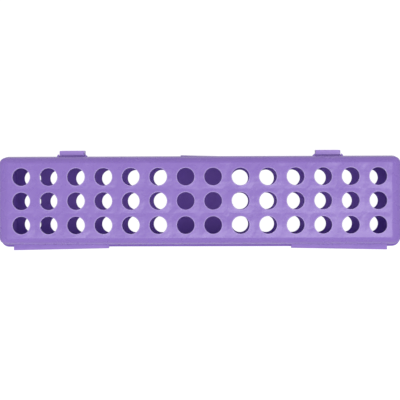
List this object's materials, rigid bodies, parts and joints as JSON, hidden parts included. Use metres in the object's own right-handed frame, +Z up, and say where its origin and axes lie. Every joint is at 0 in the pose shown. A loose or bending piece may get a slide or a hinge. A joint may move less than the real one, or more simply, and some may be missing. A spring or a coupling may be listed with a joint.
{
  "type": "test tube rack",
  "caption": "Perforated clamshell rack case for small tubes: deep base and hinged shallow lid with matching grids of round holes, film hinges and snap latches.",
  "frame": {"origin": "the middle of the underside, on the surface that the case stands on", "axes": "+X along the case, +Y towards the latches, +Z up through the lid"},
  "size_m": [0.181, 0.0454, 0.038],
  "materials": {
    "shell": "satin",
    "hinge": "satin",
    "latch": "satin"
  },
  "bodies": {
    "base": {"base_floor": "shell", "base_hinge_side": "shell", "base_latch_side": "shell", "base_end_left": "shell", "base_end_right": "shell", "base_rim": "shell", "base_opening_lip": "shell", "base_catch_left": "shell", "base_catch_right": "shell", "base_hinge_leaf_left": "hinge", "base_hinge_leaf_right": "hinge", "hinge_film_left": "hinge", "hinge_film_right": "hinge"},
    "lid": {"lid_panel": "shell", "lid_hinge_side": "shell", "lid_latch_side": "shell", "lid_end_left": "shell", "lid_end_right": "shell", "lid_rim": "shell", "lid_hinge_leaf_left": "hinge", "lid_hinge_leaf_right": "hinge", "latch_root_left": "latch", "latch_root_right": "latch", "latch_film_left": "latch", "latch_film_right": "latch"},
    "latch_left": {"latch_tab_left": "latch"},
    "latch_right": {"latch_tab_right": "latch"}
  },
  "joints": [
    {"name": "lid_hinge", "type": "hinge", "parent": "base", "child": "lid", "pos_m": [0, -0.02239, 0.0255], "axis": [1, 0, 0], "range_deg": [0, 180], "deforming": ["hinge_film_left", "hinge_film_right"]},
    {"name": "latch_left_swing", "type": "hinge", "parent": "lid", "child": "latch_left", "pos_m": [-0.0581, 0.0205, 0.0262], "axis": [1, 0, 0], "range_deg": [0, 25], "stiffness_Nm_per_rad": 0.001, "deforming": ["latch_film_left"]},
    {"name": "latch_right_swing", "type": "hinge", "parent": "lid", "child": "latch_right", "pos_m": [0.0581, 0.0205, 0.0262], "axis": [1, 0, 0], "range_deg": [0, 25], "stiffness_Nm_per_rad": 0.001, "deforming": ["latch_film_right"]}
  ]
}
